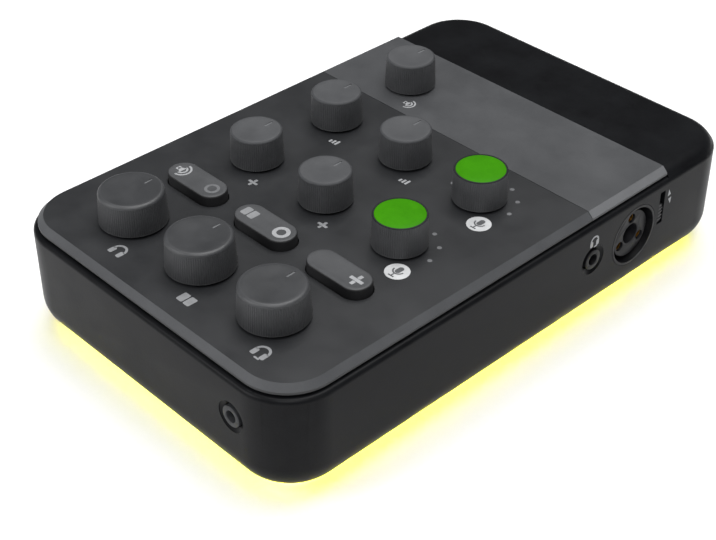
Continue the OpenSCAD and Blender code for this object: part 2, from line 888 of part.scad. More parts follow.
module usb_socket() {
    front = wall - play;
    color("#a6a8ab") on_rear(-usb_x, z_usb + seat) difference() {
        translate([front - usb_depth, 0, 0]) rotate([90, 0, 90]) linear_extrude(usb_depth)
            stadium(usb_width, usb_height);
        translate([front - usb_depth + usb_back, 0, 0]) rotate([90, 0, 90]) linear_extrude(usb_depth)
            stadium(usb_width - 2 * usb_skin, usb_height - 2 * usb_skin);
    }
}

// Contact tongue on a block that fills the back of the USB socket
module usb_tongue() {
    back = wall - play - usb_depth + usb_back + seat;
    trim = 2 * (usb_skin + seat);
    color("#232427") on_rear(-usb_x, z_usb + seat) {
        translate([back, 0, 0]) rotate([90, 0, 90]) linear_extrude(usb_block)
            stadium(usb_width - trim, usb_height - trim);
        translate([back, -usb_tongue_width / 2, -usb_tongue_height / 2])
            cube([usb_depth - usb_back - seat - usb_tongue_set, usb_tongue_width, usb_tongue_height]);
    }
}

module switch_body() {
    back = hw - wall - switch_depth;
    color("#1b1c1e") difference() {
        translate([back, switch_y - switch_half, switch_low - switch_lip_low])
            cube([switch_depth - seat, 2 * switch_half, switch_slot + switch_lip_low + switch_lip_top]);
        translate([back + switch_back, switch_y - shoe_half - play, switch_low])
            cube([switch_depth, 2 * (shoe_half + play), switch_slot]);
    }
}

// Ridged lever in the wall slot with a wider shoe held behind the wall
module switch_slider() {
    shoe = hw - wall - play - shoe_depth;
    low = switch_low + play;
    color("#4a4b4e") {
        translate([shoe, switch_y - shoe_half, low]) cube([shoe_depth, 2 * shoe_half, lever_height]);
        translate([shoe, switch_y - lever_half, low])
            cube([hw - lever_set - shoe, 2 * lever_half, lever_height]);
        for (i = [1:ridge_count]) {
            z = low + i * lever_height / (ridge_count + 1);
            translate([shoe, switch_y - lever_half, z - ridge_width / 2])
                cube([hw - lever_set + ridge_height - shoe, 2 * lever_half, ridge_width]);
        }
    }
}

module button_left() { pill(-col); }
module button_mid() { pill(0); }
module button_right() { pill(col); }
module knob_big_left() { knob_big(-col); }
module knob_big_mid() { knob_big(0); }
module knob_big_right() { knob_big(col); }
module knob_a_left() { knob_small(-col, row_a); }
module knob_a_mid() { knob_small(0, row_a); }
module knob_a_lit() { knob_lit(row_a); }
module knob_b_left() { knob_small(-col, row_b); }
module knob_b_mid() { knob_small(0, row_b); }
module knob_b_lit() { knob_lit(row_b); }
module knob_c() { knob_small(-col, row_c); }
module lens_a() { lens(row_a); }
module lens_b() { lens(row_b); }
module shaft_big_left() { shaft(-col, row_big); }
module shaft_big_mid() { shaft(0, row_big); }
module shaft_big_right() { shaft(col, row_big); }
module shaft_a_left() { shaft(-col, row_a); }
module shaft_a_mid() { shaft(0, row_a); }
module shaft_a_lit() { shaft(col, row_a); }
module shaft_b_left() { shaft(-col, row_b); }
module shaft_b_mid() { shaft(0, row_b); }
module shaft_b_lit() { shaft(col, row_b); }
module shaft_c() { shaft(-col, row_c); }
module out_jack_left() { line_jack(out_left_x); }
module out_jack_right() { line_jack(out_left_x + out_pitch); }

shell();
base_plate();
deck();
badge_plate();
light_ring();
led_strip();
feet();
case_screws();
deck_screws();
main_board();
io_board();
board_link();
board_screws();
pots();
encoders();
tact_switches();
button_left();
button_mid();
button_right();
knob_big_left();
knob_big_mid();
knob_big_right();
knob_a_left();
knob_a_mid();
knob_a_lit();
knob_b_left();
knob_b_mid();
knob_b_lit();
knob_c();
lens_a();
lens_b();
shaft_big_left();
shaft_big_mid();
shaft_big_right();
shaft_a_left();
shaft_a_mid();
shaft_a_lit();
shaft_b_left();
shaft_b_mid();
shaft_b_lit();
shaft_c();
combo_housing();
combo_insert();
combo_contacts();
side_jack();
front_jack();
rear_jack();
out_jack_left();
out_jack_right();
usb_socket();
usb_tongue();
switch_body();
switch_slider();
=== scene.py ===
import json
import math

import bmesh
import bpy
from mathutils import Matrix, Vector


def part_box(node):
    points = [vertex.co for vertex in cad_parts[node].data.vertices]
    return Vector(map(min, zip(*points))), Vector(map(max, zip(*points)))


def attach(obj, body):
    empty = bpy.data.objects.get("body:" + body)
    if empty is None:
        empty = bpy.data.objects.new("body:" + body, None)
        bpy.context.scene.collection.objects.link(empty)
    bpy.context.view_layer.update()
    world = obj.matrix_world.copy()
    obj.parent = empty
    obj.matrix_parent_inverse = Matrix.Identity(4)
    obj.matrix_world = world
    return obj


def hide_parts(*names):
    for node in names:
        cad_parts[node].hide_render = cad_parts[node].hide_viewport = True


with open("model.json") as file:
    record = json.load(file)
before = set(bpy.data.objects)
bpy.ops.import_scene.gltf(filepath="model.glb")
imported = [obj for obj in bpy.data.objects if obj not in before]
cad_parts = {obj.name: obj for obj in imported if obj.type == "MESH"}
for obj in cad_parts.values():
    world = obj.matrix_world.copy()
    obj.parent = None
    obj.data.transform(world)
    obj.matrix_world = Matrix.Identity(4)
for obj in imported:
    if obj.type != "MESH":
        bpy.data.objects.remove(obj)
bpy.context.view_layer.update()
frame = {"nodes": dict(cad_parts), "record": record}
nodes = frame["nodes"]
mm = 0.001
hair = 1e-6                             # metres, closer than this is the same place
flatUp = 0.99                           # a normal this far up or down counts as level
nearUpright = 0.2                       # a wall's normal leans up or down less than this
print("frame loaded:", len(nodes), "nodes")


# camera, at the angle and distance of the photograph (image 716 x 540)
cameraView = {
    "azimuth": 46.34,
    "elevation": 36.73,
    "distance": 410.75,
    "target": (30.6, -41.15, 39.4),
    "sensor": 36,
    "focalPixels": 1524.55,
    "widthPixels": 716,
    "clip": (0.01, 50),
}


def placeCamera(view):
    turn, tilt = math.radians(view["azimuth"]), math.radians(view["elevation"])
    back = Vector((math.sin(turn) * math.cos(tilt), -math.cos(turn) * math.cos(tilt), math.sin(tilt)))
    spot = (Vector(view["target"]) + back * view["distance"]) * mm
    bpy.ops.object.camera_add(location=spot)
    camera = bpy.context.object
    camera.name = "photoCamera"
    camera.rotation_euler = (-back).to_track_quat("-Z", "Y").to_euler()
    camera.data.sensor_width = view["sensor"]
    camera.data.lens = view["sensor"] * view["focalPixels"] / view["widthPixels"]
    camera.data.clip_start, camera.data.clip_end = view["clip"]
    bpy.context.scene.camera = camera


placeCamera(cameraView)
print("camera placed")


# finishes
def linear(code):                       # "3a3b3d" as seen on screen to the shader's linear colour
    parts = [int(code[i:i + 2], 16) / 255 for i in (0, 2, 4)]
    return [p / 12.92 if p <= 0.04045 else ((p + 0.055) / 1.055) ** 2.4 for p in parts] + [1.0]


def addNode(tree, kind, settings=None, links=None):
    node = tree.nodes.new(kind)
    for key, value in (settings or {}).items():
        if isinstance(key, int) or key in node.inputs:
            node.inputs[key].default_value = value
        else:
            setattr(node, key, value)
    for key, source in (links or {}).items():
        tree.links.new(source, node.inputs[key])
    return node


def blankFinish(name):
    finish = bpy.data.materials.new(name)
    finish.use_nodes = True
    finish.node_tree.nodes.clear()
    return finish, finish.node_tree


noiseLook = {
    "speck": 0.35,                      # how far the grain moves the tone beside the cloud
    "tone": (0.45, 0.9),                # noise that gives the dark and the light tone
    "cloud": (0.3, 0.7), "gloss": 0.05,     # cloud that swings the roughness, and by how much
}


# A fine grain lifts the surface, a slow cloud moves tone and gloss.
# grain, cloud and depth are in millimetres
def grainedFinish(name, look):
    finish, tree = blankFinish(name)
    space = addNode(tree, "ShaderNodeTexCoord")
    grain = addNode(tree, "ShaderNodeTexNoise", {
        "Scale": 1 / (look["grain"] * mm), "Detail": 3.0, "Roughness": 0.55,
    }, {"Vector": space.outputs["Object"]})
    cloud = addNode(tree, "ShaderNodeTexNoise", {
        "Scale": 1 / (look["cloud"] * mm), "Detail": 4.0, "Roughness": 0.6,
    }, {"Vector": space.outputs["Object"]})
    mixed = addNode(tree, "ShaderNodeMath", {"operation": "MULTIPLY_ADD", 1: noiseLook["speck"]},
                    {0: grain.outputs[0], 2: cloud.outputs[0]})
    tone = addNode(tree, "ShaderNodeValToRGB", {}, {"Fac": mixed.outputs[0]})
    for stop, place, code in zip(tone.color_ramp.elements, noiseLook["tone"], (look["dark"], look["light"])):
        stop.position = place
        stop.color = linear(code)
    gloss = addNode(tree, "ShaderNodeMapRange", {
        "From Min": noiseLook["cloud"][0], "From Max": noiseLook["cloud"][1],
        "To Min": look["rough"] - noiseLook["gloss"], "To Max": look["rough"] + noiseLook["gloss"],
    }, {"Value": cloud.outputs[0]})
    relief = addNode(tree, "ShaderNodeBump", {"Strength": look["relief"], "Distance": look["depth"] * mm},
                     {"Height": grain.outputs[0]})
    shader = addNode(tree, "ShaderNodeBsdfPrincipled", {
        "IOR": look.get("ior", 1.5),
        "Metallic": look.get("metallic", 0.0),
        "Specular IOR Level": look.get("specular", 0.5),
        "Sheen Weight": look.get("sheen", 0.0),
        "Sheen Roughness": 0.4,
        "Emission Color": linear(look.get("glow", "000000")),
        "Emission Strength": look.get("glowPower", 0.0),
    }, {
        "Base Color": tone.outputs["Color"],
        "Roughness": gloss.outputs["Result"],
        "Normal": relief.outputs["Normal"],
    })
    addNode(tree, "ShaderNodeOutputMaterial", {}, {"Surface": shader.outputs["BSDF"]})
    return finish


# The real grain of these mouldings is near 0.2 mm, too fine for the picture, so it is drawn coarser
shellAbs = grainedFinish("absMouldedBlack", {           # matt black case, soft broad highlights
    "grain": 0.55, "cloud": 14, "dark": "0a0a0c", "light": "131416", "rough": 0.38,
    "relief": 0.35, "depth": 0.05, "specular": 0.095,
})
deckAbs = grainedFinish("absMouldedDarkGrey", {         # flat charcoal plate with a very fine tooth
    "grain": 0.5, "cloud": 18, "dark": "1c1d1f", "light": "252628", "rough": 0.42,
    "relief": 0.3, "depth": 0.04,
})
badgeLacquer = grainedFinish("absLacqueredGrey", {      # rear panel, mid grey satin
    "grain": 0.6, "cloud": 20, "dark": "3b3c3e", "light": "454648", "rough": 0.42,
    "relief": 0.22, "depth": 0.03,
})
deckEdgeHighlight = grainedFinish("absChamferPaintedHighlight", {          # cut edge of the top plate, an even pale line: a painted highlight
    "grain": 0.4, "cloud": 16, "dark": "434446", "light": "4b4c4e", "rough": 0.5,
    "relief": 0.15, "depth": 0.02, "specular": 0.14,
})
badgeEdgeHighlight = grainedFinish("absChamferPaintedHighlightPale", {     # the same painted highlight on the rear panel's cut edge
    "grain": 0.4, "cloud": 16, "dark": "606163", "light": "68696b", "rough": 0.5,
    "relief": 0.15, "depth": 0.02, "specular": 0.14,
})
knobSkin = grainedFinish("tpeMouldedDarkGrey", {        # rubbery small knob sides, no sharp reflection
    "grain": 0.45, "cloud": 7, "dark": "38393b", "light": "454648", "rough": 0.58,
    "relief": 0.35, "depth": 0.04, "sheen": 0.05,
})
bigSkinShade = grainedFinish("tpeMouldedDarkGreyPaintedShade", {        # sides of the large knobs, darker than the small knobs' sides: painted shade
    "grain": 0.45, "cloud": 8, "dark": "303133", "light": "3c3d3f", "rough": 0.58,
    "relief": 0.35, "depth": 0.04, "sheen": 0.05,
})
bigCap = grainedFinish("absSatinKnobTop", {             # smoother top of the large knobs
    "grain": 0.5, "cloud": 9, "dark": "2a2b2d", "light": "333436", "rough": 0.45,
    "relief": 0.2, "depth": 0.03,
})
bigRimHighlight = grainedFinish("absKnobEdgePaintedHighlight", {        # rim of the large knobs, lighter than top and side: a painted highlight line
    "grain": 0.4, "cloud": 5, "dark": "303133", "light": "3b3c3e", "rough": 0.48,
    "relief": 0.12, "depth": 0.02,
})
grooveLightFill = grainedFinish("greyGroovePaintedLight", {       # lighter grey on the pointer groove floor, a step above the top, that evens out the groove's shade: painted light
    "grain": 0.3, "cloud": 4, "dark": "57585a", "light": "636466", "rough": 0.6,
    "relief": 0.15, "depth": 0.01,
})
smallCap = grainedFinish("absSatinKnobTopPale", {       # paler top of the small knobs
    "grain": 0.5, "cloud": 9, "dark": "3e3f41", "light": "48494b", "rough": 0.46,
    "relief": 0.2, "depth": 0.03,
})
smallRim = grainedFinish("absMattKnobEdge", {           # rounded edge of the small knobs, no bright line
    "grain": 0.4, "cloud": 5, "dark": "38393b", "light": "424345", "rough": 0.6,
    "relief": 0.15, "depth": 0.02, "specular": 0.2,
})
litRim = grainedFinish("tpeMouldedBlackEdge", {         # dark ring round a lit lens
    "grain": 0.4, "cloud": 5, "dark": "1c1d1f", "light": "252628", "rough": 0.6,
    "relief": 0.15, "depth": 0.02, "specular": 0.15,
})
pillSilicone = grainedFinish("siliconeMouldedGrey", {   # soft grey keys with a dusty sheen
    "grain": 0.4, "cloud": 8, "dark": "37383a", "light": "414244", "rough": 0.55,
    "relief": 0.25, "depth": 0.03, "sheen": 0.08,
})
pillFlankShade = grainedFinish("siliconeKeyFlankPaintedShade", {     # sides of the keys, almost black: painted shade
    "grain": 0.4, "cloud": 8, "dark": "0e0e10", "light": "161618", "rough": 0.6,
    "relief": 0.25, "depth": 0.03,
})
lensAcrylic = grainedFinish("acrylicTintedGreen", {     # lit lens, even green with a soft edge
    "grain": 0.7, "cloud": 6, "dark": "205a03", "light": "2a6a04", "rough": 0.45, "ior": 1.49,
    "relief": 0.1, "depth": 0.02, "glow": "4a9e08", "glowPower": 0.35, "specular": 0.06,
})
guideAcrylic = grainedFinish("acrylicFrostedLight", {   # frosted strip under the case, throws warm light down
    "grain": 0.6, "cloud": 10, "dark": "f0e6a0", "light": "fff6c0", "rough": 0.6, "ior": 1.49,
    "relief": 0.1, "depth": 0.02, "glow": "fff750", "glowPower": 80.0,
})
whiteInk = grainedFinish("inkPadPrintedWhite", {        # opaque printed discs, off-white
    "grain": 0.35, "cloud": 3, "dark": "aeafb0", "light": "bebfc0", "rough": 0.6,
    "relief": 0.2, "depth": 0.01,
})
paleInk = grainedFinish("inkPadPrintedPaleGrey", {      # thinner printed marks, a step below white
    "grain": 0.35, "cloud": 3, "dark": "8c8d8f", "light": "9c9d9f", "rough": 0.6,
    "relief": 0.2, "depth": 0.01,
})
greyInk = grainedFinish("inkPadPrintedGrey", {          # faint printed marks, half tone
    "grain": 0.35, "cloud": 3, "dark": "747577", "light": "828385", "rough": 0.6,
    "relief": 0.2, "depth": 0.01,
})
faintInk = grainedFinish("inkPadPrintedFaintGrey", {    # dots and the weakest marks
    "grain": 0.35, "cloud": 3, "dark": "5a5b5d", "light": "666769", "rough": 0.6,
    "relief": 0.2, "depth": 0.01,
})
darkInk = grainedFinish("inkPadPrintedDarkGrey", {      # symbol on a white badge
    "grain": 0.35, "cloud": 3, "dark": "48494b", "light": "545557", "rough": 0.6,
    "relief": 0.2, "depth": 0.01,
})
socketNylon = grainedFinish("nylonMouldedBlack", {      # sockets, a touch shinier than the case
    "grain": 0.5, "cloud": 6, "dark": "0b0b0d", "light": "131315", "rough": 0.36,
    "relief": 0.25, "depth": 0.03, "specular": 0.14,
})
insertNylon = grainedFinish("nylonMouldedDarkGrey", {   # socket insert, a shade lighter
    "grain": 0.5, "cloud": 6, "dark": "131315", "light": "1b1b1e", "rough": 0.42,
    "relief": 0.25, "depth": 0.03, "specular": 0.16,
})
frontNylon = grainedFinish("nylonMouldedMidGrey", {     # front socket, its nose close to the wall's tone
    "grain": 0.5, "cloud": 6, "dark": "292a2c", "light": "333436", "rough": 0.42,
    "relief": 0.25, "depth": 0.03, "specular": 0.16,
})
leverAcetal = grainedFinish("acetalMouldedBlack", {     # waxy slider
    "grain": 0.4, "cloud": 4, "dark": "0f0f11", "light": "18191b", "rough": 0.4,
    "relief": 0.2, "depth": 0.03,
})
footRubber = grainedFinish("rubberMouldedBlack", {      # dead matt pads
    "grain": 0.5, "cloud": 5, "dark": "121213", "light": "1c1c1e", "rough": 0.8,
    "relief": 0.5, "depth": 0.05, "sheen": 0.1,
})
plateSteel = grainedFinish("steelZincPlated", {         # screws and shafts, bluish soft metal
    "grain": 0.3, "cloud": 4, "dark": "8e9194", "light": "b4b7ba", "rough": 0.32, "metallic": 1.0,
    "relief": 0.15, "depth": 0.02,
})
socketNickel = grainedFinish("steelNickelPlated", {     # connector shell, warmer and brighter
    "grain": 0.3, "cloud": 5, "dark": "a8a49c", "light": "cfcac0", "rough": 0.25, "metallic": 1.0,
    "relief": 0.1, "depth": 0.02,
})
contactGold = grainedFinish("brassGoldPlated", {        # contacts, dull in their holes
    "grain": 0.3, "cloud": 3, "dark": "7a5c26", "light": "9a7636", "rough": 0.35, "metallic": 1.0,
    "relief": 0.1, "depth": 0.02,
})
boardMask = grainedFinish("fibreglassSolderMasked", {   # green board, woven cloth just showing
    "grain": 0.7, "cloud": 9, "dark": "14402a", "light": "1f5a3c", "rough": 0.35,
    "relief": 0.3, "depth": 0.02,
})
stripFilm = grainedFinish("polyimideCoatedWhite", {     # flexible strip
    "grain": 0.6, "cloud": 8, "dark": "d8d8d0", "light": "ecece6", "rough": 0.5,
    "relief": 0.15, "depth": 0.02,
})
print("finishes made")


# hand tools
def clearPick():                        # nothing stays selected from the piece before
    if bpy.context.mode != "OBJECT":
        bpy.ops.object.mode_set(mode="OBJECT")
    bpy.ops.object.select_all(action="DESELECT")


def openEdit():
    bpy.ops.object.mode_set(mode="EDIT")


def closeEdit():
    bpy.ops.object.mode_set(mode="OBJECT")


def pick(kind, wanted):                 # selects points, edges or faces by place or normal
    bpy.ops.mesh.select_mode(type=kind)
    bpy.ops.mesh.select_all(action="DESELECT")
    data = bpy.context.object.data
    mesh = bmesh.from_edit_mesh(data)
    mesh.normal_update()
    for part in {"VERT": mesh.verts, "EDGE": mesh.edges, "FACE": mesh.faces}[kind]:
        points = [part.co] if kind == "VERT" else [v.co for v in part.verts]
        if wanted(part, sum(points, Vector()) / len(points)):
            part.select_set(True)
    bmesh.update_edit_mesh(data)


def makeActive(piece):
    clearPick()
    piece.select_set(True)
    bpy.context.view_layer.objects.active = piece


def useModifier(piece, kind, **settings):
    makeActive(piece)
    modifier = piece.modifiers.new(kind.lower(), kind)
    for key, value in settings.items():
        setattr(modifier, key, value)
    bpy.ops.object.modifier_apply(modifier=modifier.name)


def setPiece(piece, name, finishes, body, stands=(), angle=35):
    makeActive(piece)
    bpy.ops.object.transform_apply(location=True, rotation=True, scale=True)
    piece.name = name
    piece.data.name = name
    for finish in finishes:
        piece.data.materials.append(finish)
    if angle:
        bpy.ops.object.shade_smooth_by_angle(angle=math.radians(angle))
    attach(piece, body)
    if stands:
        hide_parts(*stands)


def twinOf(piece, shift):               # a copy with its own mesh, moved by shift
    makeActive(piece)
    data = piece.data.copy()
    twin = bpy.data.objects.new(piece.name + "Twin", data)
    bpy.context.scene.collection.objects.link(twin)
    twin.location = shift
    makeActive(twin)
    bpy.ops.object.transform_apply(location=True, rotation=True, scale=True)
    return twin


def joinParts(parts):
    clearPick()
    for part in parts:
        part.select_set(True)
    bpy.context.view_layer.objects.active = parts[0]
    bpy.ops.object.join()
    bpy.ops.object.transform_apply(location=True, rotation=True, scale=True)
    return parts[0]


def nodeMiddle(node):
    low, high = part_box(node)
    return (low + high) / 2


def bodyOf(node):
    for body, members in frame["record"]["behaviour"]["bodies"].items():
        if node in members:
            return body


def easedBlock(spot, size, corner):     # small block with eased upright edges, sizes in metres
    clearPick()
    bpy.ops.mesh.primitive_cube_add(size=1, location=spot)
    block = bpy.context.object
    openEdit()
    bpy.ops.mesh.select_all(action="SELECT")
    bpy.ops.transform.resize(value=size)
    pick("EDGE", lambda e, spot: abs(e.verts[0].co.z - e.verts[1].co.z) > size[2] / 2)
    bpy.ops.mesh.bevel(offset=corner, segments=4, affect="EDGES")
    closeEdit()
    return block


def cutAway(piece, cutter):             # sinks the cutter's shape into the piece
    useModifier(piece, "BOOLEAN", operation="DIFFERENCE", solver="EXACT", object=cutter)
    bpy.data.objects.remove(cutter)


# in degrees: faces join below the first angle, edges are eased above the second
dressAngles = {"merge": 0.5, "ease": 50, "smooth": 30}


# A CAD part's own shape, merged, smoothed and given its finish
def dressNode(node, name, finish, body, edge=0.0):
    clearPick()
    data = nodes[node].data.copy()
    data.materials.clear()
    piece = bpy.data.objects.new(name, data)
    bpy.context.scene.collection.objects.link(piece)
    makeActive(piece)
    bpy.ops.mesh.customdata_custom_splitnormals_clear()
    openEdit()
    bpy.ops.mesh.select_all(action="SELECT")
    bpy.ops.mesh.remove_doubles(threshold=hair)
    bpy.ops.mesh.dissolve_limited(angle_limit=math.radians(dressAngles["merge"]))
    closeEdit()
    if edge:
        useModifier(piece, "BEVEL", width=edge * mm, segments=2, limit_method="ANGLE",
                    angle_limit=math.radians(dressAngles["ease"]),
                    use_clamp_overlap=True, harden_normals=False)
    setPiece(piece, name, [finish], body, [node], dressAngles["smooth"])
    return piece


# case
caseDress = {
    "caseShell": ("shell", shellAbs, "case_black", 0.0),
    "caseBase": ("base_plate", shellAbs, "case_black", 0.0),
    "topDeck": ("deck", deckAbs, "deck_grey", 0.0),
    "rearPanel": ("badge_plate", badgeLacquer, "badge_grey", 0.0),
    "restPads": ("feet", footRubber, "foot_rubber", 0.5),
    "lightGuide": ("light_ring", guideAcrylic, "light_guide", 0.3),
    "baseScrews": ("case_screws", plateSteel, "screw_steel", 0.0),
}
screwCross = {"long": 3.0, "wide": 0.6, "deep": 0.5, "corner": 0.1, "head": 2.3}
chamfer = {"slope": (0.3, 0.95), "band": 4.0}   # upward part of a sloped normal, depth under the plate's top


def crossCutter(spot, look):            # two crossed blocks round the middle of a screw head
    long, wide, tall = look["long"] * mm, look["wide"] * mm, 2 * look["deep"] * mm
    return [easedBlock(spot, (*sides, tall), look["corner"] * mm) for sides in ((long, wide), (wide, long))]


caseDone = {}
for pieceName, (node, finish, slot, edge) in caseDress.items():
    caseDone[pieceName] = dressNode(node, pieceName, finish, "case", edge)
screwLow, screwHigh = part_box("case_screws")
headRadius = screwCross["head"] * mm
screwSpots = [Vector((x, y, screwLow.z)) for x in (screwLow.x + headRadius, screwHigh.x - headRadius)
              for y in (screwLow.y + headRadius, 0, screwHigh.y - headRadius)]
for spot in screwSpots:
    for cutter in crossCutter(spot, screwCross):
        cutAway(caseDone["baseScrews"], cutter)
makeActive(caseDone["baseScrews"])
bpy.ops.object.shade_smooth_by_angle(angle=math.radians(dressAngles["smooth"]))


def highlightChamfer(piece, node, finish):         # the sloped faces along a plate's upper edge take the lighter finish, a painted highlight
    low, high = chamfer["slope"]
    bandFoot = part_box(node)[1].z - chamfer["band"] * mm
    piece.data.materials.append(finish)
    for face in piece.data.polygons:
        if low < face.normal.z < high and face.center.z > bandFoot:
            face.material_index = 1


highlightChamfer(caseDone["topDeck"], "deck", deckEdgeHighlight)
highlightChamfer(caseDone["rearPanel"], "badge_plate", badgeEdgeHighlight)
print("case dressed")


# knobs, turned from one cylinder each: fine flutes, rounded rim, shallow bowl, groove towards the rear
knobSkirt = {"flute": 0.08, "fluteEdge": 0.08, "foot": 0.2, "skirt": 1.4, "hollow": 3.0}
knobTop = {
    "ring": 0.8, "bowl": 0.3, "groove": (0.7, 3.0), "grooveDeep": 0.3, "grooveCorner": 0.4,
    "topBand": 0.7, "rimOver": 0.05,    # depths under the top where faces take the finish of top and rim
    "rimSlope": 0.1, "grooveSlack": 1.02, "grooveFloor": 0.6,
}
bigKnob = {"flutes": 96, "taper": 0.94, "rim": 1.0, "rimSteps": 4} | knobSkirt | knobTop
smallKnob = {"flutes": 78, "taper": 0.957, "rim": 0.6, "rimSteps": 3} | knobSkirt | knobTop
litKnob = {
    "flutes": 78, "taper": 0.957, "rim": 0.25, "rimSteps": 2, "ringSlope": 0.3, "ringBand": 0.3,
    "lensDome": 0.4, "lensGap": 0.1, "lensUnder": 0.05, "lensSides": 96, "lensEdge": 0.12, "lensOuter": 0.95,
} | knobSkirt
bowlRings = (0.4375, 0.3125, 0.1875)    # share of the bowl's depth at each quarter of the way in


def flutedBlank(look, node):
    low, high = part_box(node)
    radius, half = (high.x - low.x) / 2, (high.z - low.z) / 2
    sides = look["flutes"] * 2
    step = 2 * math.pi / sides
    clearPick()
    bpy.ops.mesh.primitive_cylinder_add(vertices=sides, radius=radius, depth=2 * half,
                                        location=(low + high) / 2)
    blank = bpy.context.object
    openEdit()
    pick("VERT", lambda v, spot: spot.z > 0)
    bpy.ops.transform.resize(value=(look["taper"], look["taper"], 1))
    pick("EDGE", lambda e, spot: all(v.co.z > half - hair for v in e.verts))
    bpy.ops.mesh.bevel(offset=look["rim"] * mm, segments=look["rimSteps"], affect="EDGES")
    pick("EDGE", lambda e, spot: all(v.co.z < hair - half for v in e.verts))
    bpy.ops.mesh.bevel(offset=look["foot"] * mm, segments=2, affect="EDGES")
    # every second side face sinks a little
    pick("FACE", lambda f, spot: abs(f.normal.z) < nearUpright and f.calc_area() > radius * step * half
         and round((math.atan2(spot.y, spot.x) / step) - 0.5) % 2 == 0)
    bpy.ops.mesh.inset(thickness=look["fluteEdge"] * mm, depth=-look["flute"] * mm, use_individual=True)
    # hollow underside
    pick("FACE", lambda f, spot: f.normal.z < -flatUp and spot.z < hair - half)
    bpy.ops.mesh.inset(thickness=look["skirt"] * mm)
    bpy.ops.mesh.extrude_region_move(TRANSFORM_OT_translate={"value": (0, 0, look["hollow"] * mm)})
    pick("FACE", lambda f, spot: f.normal.z > flatUp and spot.z > half - hair)
    return blank, radius, half          # left in edit mode with the top face picked


def turnKnob(look, node, finishes):
    knob, radius, half = flutedBlank(look, node)
    topRadius = radius * look["taper"]
    reach = topRadius - (look["rim"] + look["ring"]) * mm
    bpy.ops.mesh.inset(thickness=look["ring"] * mm)
    for share in bowlRings:
        bpy.ops.mesh.inset(thickness=reach / 4, depth=-look["bowl"] * share * mm)
    closeEdit()
    makeActive(knob)
    bpy.ops.object.transform_apply(location=True, rotation=True, scale=True)
    middle = nodeMiddle(node)
    wide, long = look["groove"]
    sunk, slack = look["grooveDeep"] * mm, look["grooveSlack"]
    spot = middle + Vector((0, reach - long / 2 * mm, half))
    cutAway(knob, easedBlock(spot, (wide * mm, long * mm, 2 * sunk), look["grooveCorner"] * wide * mm))
    for finish in (*finishes, grooveLightFill):
        knob.data.materials.append(finish)      # side, top, rim and groove
    for face in knob.data.polygons:
        spot = face.center - middle
        inside = math.hypot(spot.x, spot.y) < topRadius - look["rim"] * mm
        within = abs(spot.x) < slack * wide / 2 * mm and reach - slack * long * mm < spot.y < reach
        # the groove floor takes the painted light, the rim takes its own finish
        if within and abs(half - sunk - spot.z) < look["grooveFloor"] * sunk:
            face.material_index = 3
        elif spot.z > half - look["topBand"] * mm and inside:
            face.material_index = 1
        elif spot.z > half - (look["rim"] + look["rimOver"]) * mm and face.normal.z > look["rimSlope"]:
            face.material_index = 2
        else:
            face.material_index = 0
    return knob


bigKnobs = {"knobBigLeft": "knob_big_left", "knobBigMid": "knob_big_mid", "knobBigRight": "knob_big_right"}
smallKnobs = {
    "knobFrontLeft": "knob_a_left", "knobFrontMid": "knob_a_mid", "knobBackLeft": "knob_b_left",
    "knobBackMid": "knob_b_mid", "knobRear": "knob_c",
}
bigMaster = turnKnob(bigKnob, "knob_big_left", (bigSkinShade, bigCap, bigRimHighlight))
smallMaster = turnKnob(smallKnob, "knob_a_left", (knobSkin, smallCap, smallRim))
for master, group in ((bigMaster, bigKnobs), (smallMaster, smallKnobs)):
    first = nodeMiddle(list(group.values())[0])
    for pieceName, node in group.items():
        knob = master if nodeMiddle(node) == first else twinOf(master, nodeMiddle(node) - first)
        setPiece(knob, pieceName, [], bodyOf(node), [node], angle=40)
print("knobs turned")


# lit knobs: a plain fluted collar and a domed lens
def turnLitKnob(look, node, lensNode):
    lensLow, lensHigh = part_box(lensNode)
    lensRadius, lensHalf = (lensHigh.x - lensLow.x) / 2, (lensHigh.z - lensLow.z) / 2
    collar, radius, half = flutedBlank(look, node)
    topRadius = radius * look["taper"]
    bpy.ops.mesh.inset(thickness=topRadius - lensRadius - (look["rim"] + look["lensGap"]) * mm)
    seatDrop = lensLow.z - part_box(node)[1].z - look["lensUnder"] * mm
    bpy.ops.mesh.extrude_region_move(TRANSFORM_OT_translate={"value": (0, 0, seatDrop)})
    closeEdit()
    for finish in (knobSkin, litRim):
        collar.data.materials.append(finish)
    for face in collar.data.polygons:   # the top ring is darker than the side
        onTop = face.normal.z > look["ringSlope"] and face.center.z > half - look["ringBand"] * mm
        face.material_index = 1 if onTop else 0

    clearPick()
    bpy.ops.mesh.primitive_cylinder_add(vertices=look["lensSides"], radius=lensRadius, depth=2 * lensHalf,
                                        location=(lensLow + lensHigh) / 2)
    lens = bpy.context.object
    openEdit()
    pick("FACE", lambda f, spot: f.normal.z > flatUp)
    bpy.ops.transform.translate(value=(0, 0, -look["lensDome"] * mm))
    for share in bowlRings:             # the dome rises as the bowls sink
        bpy.ops.mesh.inset(thickness=lensRadius / 4, depth=look["lensDome"] * share * mm)
    pick("EDGE", lambda e, spot: all(abs(v.co.z - lensHalf + look["lensDome"] * mm) < hair for v in e.verts)
         and Vector((spot.x, spot.y)).length > lensRadius * look["lensOuter"])
    bpy.ops.mesh.bevel(offset=look["lensEdge"] * mm, segments=2, affect="EDGES")
    closeEdit()
    lens.data.materials.append(lensAcrylic)
    for piece in (collar, lens):
        makeActive(piece)
        bpy.ops.object.transform_apply(location=True, rotation=True, scale=True)
    return collar, lens


